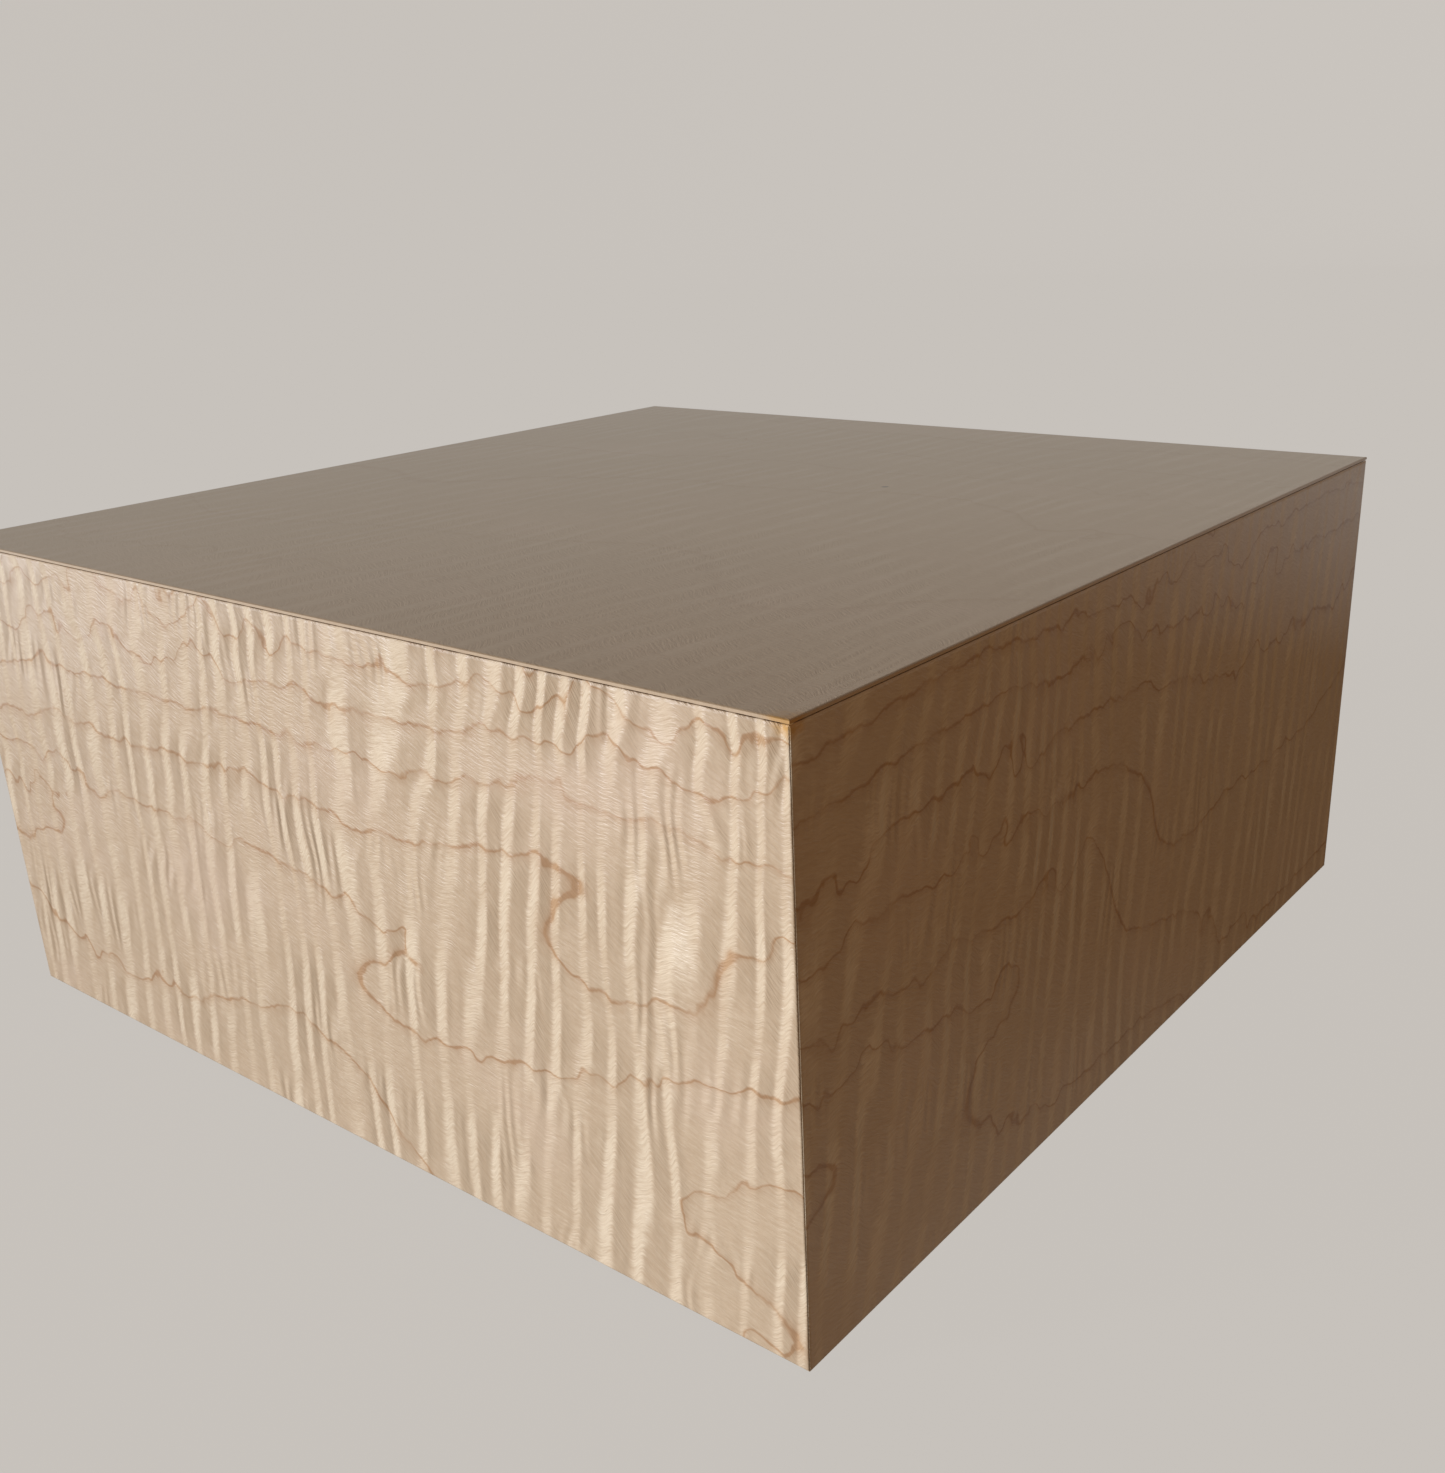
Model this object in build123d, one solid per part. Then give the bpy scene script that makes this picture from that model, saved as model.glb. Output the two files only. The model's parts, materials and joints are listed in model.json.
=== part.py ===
from build123d import *

import os
from math import cos, radians, sin

# Square puzzle box in figured maple. Four mitred side panels shift round the box like a pinwheel, the lid
# lifts off once four leaf catches let it go, and a quarter-turn dial in the base frees the side panels.
#
# Frame: origin at the middle of the underside, +Z up, the front panel faces -Y. Millimetres.
#
# Each side of the box is drawn once, as the front side, and turned about Z for the other three. On a side,
# "along" is X on the front, and "depth" is the distance inwards from that side's outer face.

# ---- driving dimensions -------------------------------------------------------------------------
WIDTH = 203.2  # outer width and outer depth
HEIGHT = 95.25
PANEL = 9.0  # thickness of side panels, lid and base, veneer included
VENEER = 0.6
LID_VENEER = 0.5
TRAVEL = 12.0  # how far each side panel shifts
LID_SEAM = 0.22  # open seam under the lid's veneer
MITRE_PLAY = 0.03  # each mitred face stands this far back from its 45 degree plane
LID_PLAY = 0.06  # the same for the lid's mitres

# ---- carcass ------------------------------------------------------------------------------------
BOARD = 7.0
BOARD_DEPTH = PANEL + 0.3
BOARD_IN = BOARD_DEPTH + BOARD  # depth of the carcass's inner faces
BOARD_TOP = HEIGHT - PANEL - 0.4
FLOOR_LOW, FLOOR_TOP = 24.0, 27.0
BLOCK = 12.0  # corner glue blocks
LINING = 2.0
LINING_DEPTH = BOARD_IN + 4.2
LINING_TOP = 71.5
SPACER_AT, SPACER = 66.0, 8.0

# ---- runners, pegs and magnets of a side panel --------------------------------------------------
RUNNER_HEIGHTS = (32.0, 68.0)
RUNNER_LENGTH = 150.0
RUNNER_NECK, RUNNER_SLOPE = 6.0, 0.5  # half height at the panel, and its growth with depth
RUNNER_STAND = 3.4  # how far a runner stands off its panel
RUNNER_PLAY = 0.15
RUNNER_SCREWS = (-60.0, 0.0, 60.0)
RUNNER_HEAD, RUNNER_SHANK = 3.0, 1.5  # radii of a runner's countersunk screws
RUNNER_SINK, RUNNER_GRIP = 2.0, 9.0  # depth of their countersink, and their whole length
PEG_RADIUS, PEG_HEIGHT, PEG_ROOT, PEG_END = 3.0, 50.0, 4.0, BOARD_IN + 0.55
PEG_PLAY = 0.3
MAGNET_RADIUS, MAGNET, MAGNET_AT = 3.0, 2.0, 80.0

# ---- leaf catches that hold the lid ----------------------------------------------------------------
LEAF, LEAF_WIDTH = 0.6, 12.0
LEAF_FOOT, LEAF_BEND, LEAF_NECK = 28.0, 40.0, 74.15  # heights along a leaf
LEAF_LEAN = 2.9  # how far a peg holds the leaf's top off the board
NOSE_REACH, NOSE_RISE = 1.6, 3.2
LEAF_SCREWS = (31.0, 36.0)
LEAF_HEAD, LEAF_SHANK, LEAF_GRIP = (2.0, 1.2), 1.2, 3.5  # head (radius, thickness), shank radius, length

# ---- lid ----------------------------------------------------------------------------------------
CLEAT, CLEAT_DEPTH, CLEAT_LOW = 7.0, BOARD_IN + 0.4, 74.0
NOTCH_WIDTH, NOTCH_DEPTH, NOTCH_RISE = 16.0, 5.2, 6.0
KEEPER, KEEPER_WIDTH = 1.0, 30.0
KEEPER_SCREWS = (-11.0, 11.0)
KEEPER_HEAD, KEEPER_SHANK, KEEPER_GRIP = (1.5, 0.8), 0.8, 5.0
KEEPER_SLOT, KEEPER_SLOT_DEPTH = 0.4, 0.35
KEEPER_EDGE = 1.8  # the screws' distance from the keeper's inner edge

# ---- screw slots ----------------------------------------------------------------------------------
SLOT_WIDTH, SLOT_DEPTH = 0.6, 0.5

# ---- dial in the base, and the spring that it props -----------------------------------------------
DIAL_RADIUS, DIAL_TOP, DIAL_RECESS, DIAL_PLAY = 23.0, 4.0, 0.3, 0.3
BOSS_RADIUS, BOSS_TOP = 6.0, 11.0
WASHER_RADIUS, WASHER_PLAY = 10.0, 0.1
ARM, ARM_WIDTH, ARM_HUB_RADIUS = 4.0, 14.0, 12.0
ARM_REACH = WIDTH / 2 - BOARD_IN - LEAF - 0.1
ARM_HEAD, ARM_SHANK, ARM_SLOT = (4.0, 2.0), 2.0, (1.0, 0.9)  # the slot's width and depth
STOP_RADIUS, STOP_AT, STOP_ROOT, STOP_TOP = 2.0, 30.0, 5.0, 14.0
LOCK_LOW, LOCK_HIGH = 12.0, 20.0
LOCK_FROM, LOCK_TO = -8.0, 58.0
BOLT_WIDTH, BOLT_HEIGHT, BOLT_TIP = 8.0, 6.0, 6.6
BOLT_PLAY = 0.2
LOCK_SCREWS = (44.0, 54.0)
LOCK_HEAD, LOCK_SHANK, LOCK_GRIP = (2.2, 1.4), 1.3, 5.0

HALF = WIDTH / 2
SIDES = ("front", "right", "back", "left")


# ---- helpers ------------------------------------------------------------------------------------
def block(x, y, z):
    """A box from its (low, high) pairs along X, Y and Z."""
    size = [high - low for low, high in (x, y, z)]
    middle = [(low + high) / 2 for low, high in (x, y, z)]
    return Pos(*middle) * Box(*size)


def front_block(along, depth, z):
    """A box on the front side, from its (low, high) pairs along the side, in depth and in height."""
    return block(along, tuple(d - HALF for d in depth), z)


def front_rod(radius, along, height, depth):
    """A round rod on the front side that runs in depth from depth[0] to depth[1]."""
    middle = (depth[0] + depth[1]) / 2 - HALF
    return Pos(along, middle, height) * Rot(X=90) * Cylinder(radius, depth[1] - depth[0])


def front_profile(points, along):
    """A prism on the front side, from its (depth, height) outline and its (low, high) along the side."""
    low, high = along
    corners = [(low, depth - HALF, height) for depth, height in points]
    face = Face(Wire.make_polygon([Vector(*c) for c in corners], close=True))
    return Solid.extrude(face, Vector(high - low, 0, 0))


def trim(solid, point, outwards):
    """The solid without what lies beyond the plane through point whose normal is outwards."""
    return split(solid, bisect_by=Plane(origin=point, z_dir=outwards), keep=Keep.BOTTOM)


def rod(radius, x, y, z):
    """An upright round rod at x, y between the (low, high) pair z."""
    return Pos(x, y, (z[0] + z[1]) / 2) * Cylinder(radius, z[1] - z[0])


def front_screw(along, height, depth, head, shank, grip):
    """A slotted pan-head screw on the front side, its head on the face at depth, its shank running outwards."""
    radius, thick = head
    top = depth + thick
    made = front_rod(radius, along, height, (depth, top))
    made += front_rod(shank, along, height, (depth - grip, depth + thick / 2))
    return made - front_slot(along, height, top, radius)


def front_slot(along, height, top, radius):
    """The driver slot in a head whose outer face is at depth top."""
    across = (along - SLOT_WIDTH / 2, along + SLOT_WIDTH / 2)
    return front_block(across, (top - SLOT_DEPTH, top + 1), (height - radius - 1, height + radius + 1))


def turned(shape, quarter):
    """A front-side shape, turned to another side of the box."""
    return Rot(Z=90 * quarter) * shape


def write(name, solids):
    """Writes one node from its solids."""
    pieces = [Solid(s.wrapped) for part in solids for s in part.solids()]
    export_step(Compound(children=pieces), f"parts/{name}.step")


# ---- side panels --------------------------------------------------------------------------------
def front_plate(depth):
    """The layer of the front panel between two depths, mitred to its neighbours, the base and the lid."""
    seam = LID_VENEER + LID_SEAM
    plate = front_block((-HALF, HALF), depth, (0, HEIGHT - seam))
    for way in (-1, 1):
        plate = trim(plate, (way * (HALF - MITRE_PLAY), -HALF, 0), (way, 1, 0))
    plate = trim(plate, (0, -HALF, MITRE_PLAY), (0, 1, -1))
    return trim(plate, (0, -HALF, HEIGHT - MITRE_PLAY), (0, 1, 1))


def runner_outline(height, play, depth_end):
    """The dovetail outline of a runner, or of its groove when play is above 0."""
    start = PANEL if play == 0 else BOARD_DEPTH
    near = RUNNER_NECK + (start - PANEL) * RUNNER_SLOPE + play
    far = RUNNER_NECK + (depth_end - PANEL) * RUNNER_SLOPE + play
    below = [(start, height - near), (depth_end, height - far)]
    return below + [(depth_end, height + far), (start, height + near)]


def runner_screw_places():
    """Where the front panel's runners are screwed on, as (along, height) pairs."""
    return [(along, height) for height in RUNNER_HEIGHTS for along in RUNNER_SCREWS]


def runner_screw(along, height):
    """A countersunk screw, before its slot is cut, driven outwards through a runner into the panel."""
    far = PANEL + RUNNER_STAND
    sunk = Cone(RUNNER_SHANK, RUNNER_HEAD, RUNNER_SINK)
    head = Pos(along, far - RUNNER_SINK / 2 - HALF, height) * Rot(X=-90) * sunk
    return head + front_rod(RUNNER_SHANK, along, height, (far - RUNNER_GRIP, far - RUNNER_SINK + 0.1))


def panel_magnets():
    """Disc magnets let into the front panel's inner face."""
    return [front_rod(MAGNET_RADIUS, a, PEG_HEIGHT, (PANEL - MAGNET, PANEL)) for a in (-MAGNET_AT, MAGNET_AT)]


def bolt(play):
    """The bolt of the lock spring, or its passage when play is above 0."""
    wide, tall = BOLT_WIDTH / 2 + play, BOLT_HEIGHT / 2 + play
    middle = (LOCK_LOW + LOCK_HIGH) / 2
    return front_block((-wide, wide), (BOLT_TIP - play, BOARD_IN), (middle - tall, middle + tall))


def write_side_panel(quarter):
    """Core, veneer, runners, screws, release peg and magnets of one side panel."""
    side = SIDES[quarter]
    places = runner_screw_places()
    screws = [runner_screw(*place) for place in places]
    slots = [front_slot(*place, PANEL + RUNNER_STAND, RUNNER_HEAD) for place in places]
    peg = front_rod(PEG_RADIUS, 0, PEG_HEIGHT, (PEG_ROOT, PEG_END))
    magnets = panel_magnets()
    core = front_plate((VENEER, PANEL)) - [peg, *magnets, *screws]
    if quarter == 0:
        core -= bolt(BOLT_PLAY)
    depth_end = PANEL + RUNNER_STAND
    along = (-RUNNER_LENGTH / 2, RUNNER_LENGTH / 2)
    runners = [front_profile(runner_outline(h, 0, depth_end), along) - screws for h in RUNNER_HEIGHTS]
    pieces = {
        "panel_core": [core],
        "panel_veneer": [front_plate((0, VENEER))],
        "runners": runners,
        "runner_screws": [screw - slot for screw, slot in zip(screws, slots)],
        "release_peg": [peg],
        "panel_magnets": magnets,
    }
    for name, solids in pieces.items():
        write(f"{side}_{name}", [turned(s, quarter) for s in solids])


# ---- carcass ------------------------------------------------------------------------------------
def leaf_catch():
    """The front leaf catch, as its peg holds it: foot on the board, top leaned in, nose over the keeper."""
    foot, top = BOARD_IN, BOARD_IN + LEAF_LEAN
    tip = top + LEAF + NOSE_REACH
    outline = [
        (foot, LEAF_FOOT),
        (foot, LEAF_BEND),
        (top, LEAF_NECK),
        (top, LEAF_NECK + NOSE_RISE),
        (top + LEAF, LEAF_NECK + NOSE_RISE),
        (tip, LEAF_NECK + NOSE_RISE / 2),
        (tip, LEAF_NECK),
        (top + LEAF, LEAF_NECK),
        (foot + LEAF, LEAF_BEND),
        (foot + LEAF, LEAF_FOOT),
    ]
    return front_profile(outline, (-LEAF_WIDTH / 2, LEAF_WIDTH / 2)) - leaf_screws()


def leaf_screws():
    """The two screws in a leaf catch's foot."""
    return [front_screw(0, h, BOARD_IN + LEAF, LEAF_HEAD, LEAF_SHANK, LEAF_GRIP) for h in LEAF_SCREWS]


def lock_screws():
    """The two screws of the lock spring."""
    middle = (LOCK_LOW + LOCK_HIGH) / 2
    return [front_screw(a, middle, BOARD_IN + LEAF, LOCK_HEAD, LOCK_SHANK, LOCK_GRIP) for a in LOCK_SCREWS]


def board_magnets():
    """Disc magnets let into the front board's outer face, each facing one in the panel."""
    depth = (BOARD_DEPTH, BOARD_DEPTH + MAGNET)
    return [front_rod(MAGNET_RADIUS, a, PEG_HEIGHT, depth) for a in (-MAGNET_AT, MAGNET_AT)]


def carcass_board(quarter):
    """A carcass board: dovetail grooves, the peg's slot, and pockets for magnets and screws."""
    made = front_block((BOARD_IN - HALF, HALF - BOARD_DEPTH), (BOARD_DEPTH, BOARD_IN), (PANEL, BOARD_TOP))
    groove_end = PANEL + RUNNER_STAND + 0.2
    for height in RUNNER_HEIGHTS:
        made -= front_profile(runner_outline(height, RUNNER_PLAY, groove_end), (-HALF, HALF))
    wide = PEG_RADIUS + PEG_PLAY
    slot = front_rod(wide, 0, PEG_HEIGHT, (PANEL, BOARD_IN))
    slot += front_rod(wide, TRAVEL, PEG_HEIGHT, (PANEL, BOARD_IN))
    slot += front_block((0, TRAVEL), (PANEL, BOARD_IN), (PEG_HEIGHT - wide, PEG_HEIGHT + wide))
    made = made - slot - board_magnets() - leaf_screws()
    if quarter == 0:
        made = made - bolt(BOLT_PLAY) - lock_screws()
    return made


def write_carcass():
    """Base, boards, floor, linings, catches and their fasteners: all that stays still."""
    quarters = range(4)
    for q in quarters:
        write(f"{SIDES[q]}_carcass_board", [turned(carcass_board(q), q)])
        write(f"{SIDES[q]}_leaf_catch", [turned(leaf_catch(), q)])
        inner = HALF - LINING_DEPTH
        depth = (LINING_DEPTH, LINING_DEPTH + LINING)
        lining = front_block((LINING - inner, inner), depth, (FLOOR_TOP, LINING_TOP))
        write(f"{SIDES[q]}_lining", [turned(lining, q)])
    spacers = [
        front_block((a - SPACER / 2, a + SPACER / 2), (BOARD_IN, LINING_DEPTH), (FLOOR_TOP, LINING_TOP))
        for a in (-SPACER_AT, SPACER_AT)
    ]
    corner = HALF - BOARD_IN
    corner_block = block((corner - BLOCK, corner), (-corner, BLOCK - corner), (PANEL, FLOOR_LOW))
    write("lining_spacers", [turned(s, q) for q in quarters for s in spacers])
    write("corner_blocks", [turned(corner_block, q) for q in quarters])
    write("carcass_magnets", [turned(m, q) for q in quarters for m in board_magnets()])
    write("leaf_screws", [turned(s, q) for q in quarters for s in leaf_screws()])
    floor = corner - 0.1
    write("false_floor", [block((-floor, floor), (-floor, floor), (FLOOR_LOW, FLOOR_TOP))])
    strip = front_block((LOCK_FROM, LOCK_TO), (BOARD_IN, BOARD_IN + LEAF), (LOCK_LOW, LOCK_HIGH))
    write("lock_spring", [(strip + bolt(0)) - lock_screws()])
    write("lock_spring_screws", lock_screws())


# ---- base and dial ------------------------------------------------------------------------------
def square_plate(low, high, set_back):
    """A level square plate whose mitred edge stands set_back from the 45 degree planes at the base."""
    plate = block((-HALF, HALF), (-HALF, HALF), (low, high))
    for quarter in range(4):
        out = (sin(radians(90 * quarter)), -cos(radians(90 * quarter)))
        point = ((HALF - set_back) * out[0], (HALF - set_back) * out[1], 0)
        plate = trim(plate, point, (out[0], out[1], 1))
    return plate


def stop_pins():
    """The two pins between which the dial's arm swings a quarter turn."""
    off = ARM_WIDTH / 2 + STOP_RADIUS + 0.1
    return [rod(STOP_RADIUS, x, y, (STOP_ROOT, STOP_TOP)) for x, y in ((-off, -STOP_AT), (STOP_AT, off))]


def dial_screw():
    """The slotted screw that clamps the arm to the dial's boss."""
    radius, thick = ARM_HEAD
    wide, deep = ARM_SLOT
    under = BOSS_TOP + ARM
    top = under + thick
    slot = block((-wide / 2, wide / 2), (-radius - 1, radius + 1), (top - deep, top + 1))
    return rod(radius, 0, 0, (under, top)) + rod(ARM_SHANK, 0, 0, (DIAL_TOP, top - thick / 2)) - slot


def write_base():
    """Base panel with the dial's seat."""
    seat = rod(DIAL_RADIUS + DIAL_PLAY, 0, 0, (-1, DIAL_TOP + 0.2))
    neck = rod(BOSS_RADIUS + DIAL_PLAY, 0, 0, (0, PANEL + 1))
    core = square_plate(VENEER, PANEL, MITRE_PLAY) - seat - neck - stop_pins()
    write("base_core", [core])
    write("base_veneer", [square_plate(0, VENEER, MITRE_PLAY) - seat])
    write("dial_stop_pins", stop_pins())


def write_dial():
    """The dial in the base, its washer, and the arm that props the lock spring."""
    under = DIAL_RECESS + VENEER
    disc = rod(DIAL_RADIUS, 0, 0, (under, DIAL_TOP)) + rod(BOSS_RADIUS, 0, 0, (DIAL_TOP - 0.5, BOSS_TOP))
    washer = rod(WASHER_RADIUS, 0, 0, (PANEL + WASHER_PLAY, BOSS_TOP - WASHER_PLAY))
    washer -= rod(BOSS_RADIUS + 0.05, 0, 0, (0, HEIGHT))
    z = (BOSS_TOP, BOSS_TOP + ARM)
    bar = block((-ARM_WIDTH / 2, ARM_WIDTH / 2), (-HALF, 0), z) & rod(ARM_REACH, 0, 0, z)
    arm = bar + rod(ARM_HUB_RADIUS, 0, 0, z)
    screw = dial_screw()
    write("dial_disc", [disc - screw])
    write("dial_veneer", [rod(DIAL_RADIUS, 0, 0, (DIAL_RECESS, under))])
    write("dial_washer", [washer])
    write("dial_arm", [arm - screw])
    write("dial_arm_screw", [screw])


# ---- lid ----------------------------------------------------------------------------------------
def keeper_screws():
    """The two screws that hold the front keeper under its cleat."""
    radius, thick = KEEPER_HEAD
    middle = CLEAT_DEPTH + CLEAT - KEEPER_EDGE - HALF
    under = CLEAT_LOW - KEEPER
    low = under - thick
    made = []
    for x in KEEPER_SCREWS:
        across = (x - KEEPER_SLOT / 2, x + KEEPER_SLOT / 2)
        slot = block(across, (middle - radius - 1, middle + radius + 1), (low - 1, low + KEEPER_SLOT_DEPTH))
        shank = rod(KEEPER_SHANK, x, middle, (under - thick / 2, CLEAT_LOW + KEEPER_GRIP))
        made.append(rod(radius, x, middle, (low, under)) + shank - slot)
    return made


def front_cleat():
    """The lid's front cleat, notched for the catch's nose."""
    depth = (CLEAT_DEPTH, CLEAT_DEPTH + CLEAT)
    inner = HALF - CLEAT_DEPTH
    made = front_block((CLEAT - inner, inner), depth, (CLEAT_LOW, HEIGHT - PANEL))
    notch_depth = (BOARD_IN, CLEAT_DEPTH + NOTCH_DEPTH)
    made -= front_block((-NOTCH_WIDTH / 2, NOTCH_WIDTH / 2), notch_depth, (CLEAT_LOW, CLEAT_LOW + NOTCH_RISE))
    return made - keeper_screws()


def front_keeper():
    """The brass plate under the front cleat that the catch's nose holds down."""
    edge = BOARD_IN + LEAF_LEAN + LEAF + 0.35
    depth = (edge, CLEAT_DEPTH + CLEAT)
    plate = front_block((-KEEPER_WIDTH / 2, KEEPER_WIDTH / 2), depth, (CLEAT_LOW - KEEPER, CLEAT_LOW))
    return plate - keeper_screws()


def write_lid():
    """Lid core, its veneer, and the cleats and keepers under it."""
    flipped = Pos(0, 0, HEIGHT) * Rot(X=180)
    core = flipped * square_plate(LID_VENEER, PANEL, LID_PLAY)
    write("lid_core", [core])
    write("lid_veneer", [block((-HALF, HALF), (-HALF, HALF), (HEIGHT - LID_VENEER, HEIGHT))])
    for q, side in enumerate(SIDES):
        write(f"{side}_lid_cleat", [turned(front_cleat(), q)])
    write("lid_keepers", [turned(front_keeper(), q) for q in range(4)])
    write("lid_keeper_screws", [turned(s, q) for q in range(4) for s in keeper_screws()])


os.makedirs("parts", exist_ok=True)
for number in range(4):
    write_side_panel(number)
write_carcass()
write_base()
write_dial()
write_lid()
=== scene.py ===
import json
import logging
import math
from dataclasses import dataclass
from enum import Enum
from typing import Any, Mapping, Sequence, Union

import bmesh
import bpy
import numpy as np
from mathutils import Matrix, Vector


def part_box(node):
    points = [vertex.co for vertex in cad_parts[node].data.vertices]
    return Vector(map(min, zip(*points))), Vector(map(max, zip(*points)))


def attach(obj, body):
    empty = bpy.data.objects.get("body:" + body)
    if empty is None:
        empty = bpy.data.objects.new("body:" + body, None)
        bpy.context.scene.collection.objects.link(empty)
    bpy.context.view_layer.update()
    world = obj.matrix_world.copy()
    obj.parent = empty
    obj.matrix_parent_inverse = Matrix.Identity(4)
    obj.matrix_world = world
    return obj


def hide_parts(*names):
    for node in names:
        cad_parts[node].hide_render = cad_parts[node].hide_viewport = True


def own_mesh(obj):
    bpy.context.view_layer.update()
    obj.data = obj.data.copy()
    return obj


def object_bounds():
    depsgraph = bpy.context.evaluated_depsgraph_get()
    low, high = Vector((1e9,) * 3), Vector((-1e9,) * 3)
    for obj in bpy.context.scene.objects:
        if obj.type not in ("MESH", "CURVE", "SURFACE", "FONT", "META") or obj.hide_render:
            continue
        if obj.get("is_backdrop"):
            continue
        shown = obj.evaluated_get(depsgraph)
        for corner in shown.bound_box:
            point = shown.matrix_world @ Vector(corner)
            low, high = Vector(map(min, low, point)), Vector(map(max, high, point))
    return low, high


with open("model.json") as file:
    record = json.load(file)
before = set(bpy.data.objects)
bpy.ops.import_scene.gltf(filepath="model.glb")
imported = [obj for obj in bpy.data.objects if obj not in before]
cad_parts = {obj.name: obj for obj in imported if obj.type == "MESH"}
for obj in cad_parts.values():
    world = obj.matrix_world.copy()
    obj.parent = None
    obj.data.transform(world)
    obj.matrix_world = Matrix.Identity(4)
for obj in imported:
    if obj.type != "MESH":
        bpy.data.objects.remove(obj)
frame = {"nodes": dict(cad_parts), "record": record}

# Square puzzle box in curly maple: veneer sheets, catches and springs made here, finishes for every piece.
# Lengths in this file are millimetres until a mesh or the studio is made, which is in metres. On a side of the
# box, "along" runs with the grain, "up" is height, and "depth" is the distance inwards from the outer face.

LOG = logging.getLogger("puzzle_box")
MM = 0.001
Colour = tuple[float, float, float]
Number = Union[int, float]


class Side(Enum):
    """The four sides of the box, by how many quarter turns about +Z bring the front to them."""

    FRONT = 0
    RIGHT = 1
    BACK = 2
    LEFT = 3

    @property
    def label(self) -> str:
        """The side's name as the CAD nodes spell it."""
        return self.name.lower()

    def turn(self, points: np.ndarray) -> np.ndarray:
        """Points of the front side, turned to this side.

        Args:
            points: array of x, y, z triples, in any shape that ends in 3.

        Returns:
            The turned points, in the same shape.
        """
        cos, sin = ((1, 0), (0, 1), (-1, 0), (0, -1))[self.value]
        x, y, z = points[..., 0], points[..., 1], points[..., 2]
        return np.stack([cos * x - sin * y, sin * x + cos * y, z], -1)


class Along(Enum):
    """Which way the grain of a board runs."""

    X = "x"
    Y = "y"
    Z = "z"


# ---- shader maths -----------------------------------------------------------------------------------


class Value:
    """A number in a material's nodes. The usual operators add Math nodes."""

    def __init__(self, recipe: "Nodes", socket: bpy.types.NodeSocket) -> None:
        """Wraps an output socket of a recipe's node."""
        self.recipe = recipe
        self.socket = socket

    def _math(self, operation: str, *inputs: Any, clamp: bool = False) -> "Value":
        """One Math node.

        Args:
            operation: the node's operation.
            inputs: its inputs in order, numbers or values.
            clamp: whether the result is held within 0 and 1.

        Returns:
            The node's result.
        """
        settings = {"operation": operation, "use_clamp": clamp}
        node = self.recipe.add("ShaderNodeMath", settings, dict(enumerate(inputs)))
        return Value(self.recipe, node.outputs[0])

    def __add__(self, other: Any) -> "Value":
        """self + other."""
        return self._math("ADD", self, other)

    def __radd__(self, other: Any) -> "Value":
        """other + self."""
        return self._math("ADD", other, self)

    def __sub__(self, other: Any) -> "Value":
        """self - other."""
        return self._math("SUBTRACT", self, other)

    def __rsub__(self, other: Any) -> "Value":
        """other - self."""
        return self._math("SUBTRACT", other, self)

    def __mul__(self, other: Any) -> "Value":
        """self times other."""
        return self._math("MULTIPLY", self, other)

    def __rmul__(self, other: Any) -> "Value":
        """other times self."""
        return self._math("MULTIPLY", other, self)

    def __truediv__(self, other: Any) -> "Value":
        """self over other."""
        return self._math("DIVIDE", self, other)

    def sine(self) -> "Value":
        """The sine, of radians."""
        return self._math("SINE", self)

    def cosine(self) -> "Value":
        """The cosine, of radians."""
        return self._math("COSINE", self)

    def size(self) -> "Value":
        """The absolute value."""
        return self._math("ABSOLUTE", self)

    def whole(self) -> "Value":
        """The nearest whole number."""
        return self._math("ROUND", self)

    def layer(self) -> "Value":
        """The whole number below."""
        return self._math("FLOOR", self)

    def at_least(self, other: Any) -> "Value":
        """The larger of self and other."""
        return self._math("MAXIMUM", self, other)

    def at_most(self, other: Any) -> "Value":
        """The smaller of self and other."""
        return self._math("MINIMUM", self, other)

    def rise(self, low: Number, high: Number, start: Number = 0.0, end: Number = 1.0) -> "Value":
        """A smooth step.

        Args:
            low: where the step begins.
            high: where the step ends.
            start: the result up to low.
            end: the result from high on.

        Returns:
            start below low, end above high, and an S-curve between them.
        """
        settings = {"interpolation_type": "SMOOTHSTEP"}
        node = self.recipe.add("ShaderNodeMapRange", settings, {0: self, 1: low, 2: high, 3: start, 4: end})
        return Value(self.recipe, node.outputs[0])


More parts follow.
